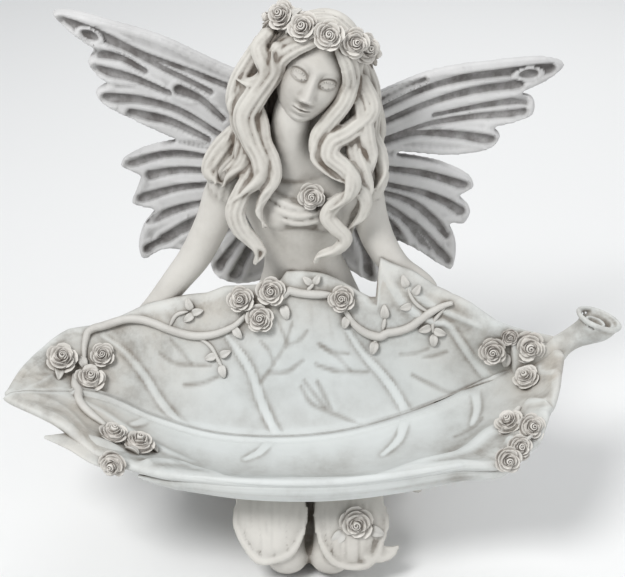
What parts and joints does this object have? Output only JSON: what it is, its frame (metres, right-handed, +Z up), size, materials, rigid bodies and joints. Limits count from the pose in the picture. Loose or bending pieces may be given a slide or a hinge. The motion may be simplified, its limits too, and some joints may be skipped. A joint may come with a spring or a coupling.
{
  "type": "fairy garden statue",
  "caption": "Kneeling fairy with butterfly wings and long wavy hair, wearing a rose wreath and carrying a wide leaf-shaped dish trimmed with roses and vines.",
  "frame": {"origin": "on the ground, in the flat underside of the base below her waist", "axes": "+Z up, the figure looks towards -Y, the leaf's stem points to +X"},
  "size_m": [0.3098, 0.1745, 0.2702],
  "materials": {
    "cast_resin": "off-white cast stone resin with a brown-grey antique wash in the recesses, satin-matte"
  },
  "bodies": {
    "root": {"fairy_statue": "cast_resin"}
  },
  "joints": []
}
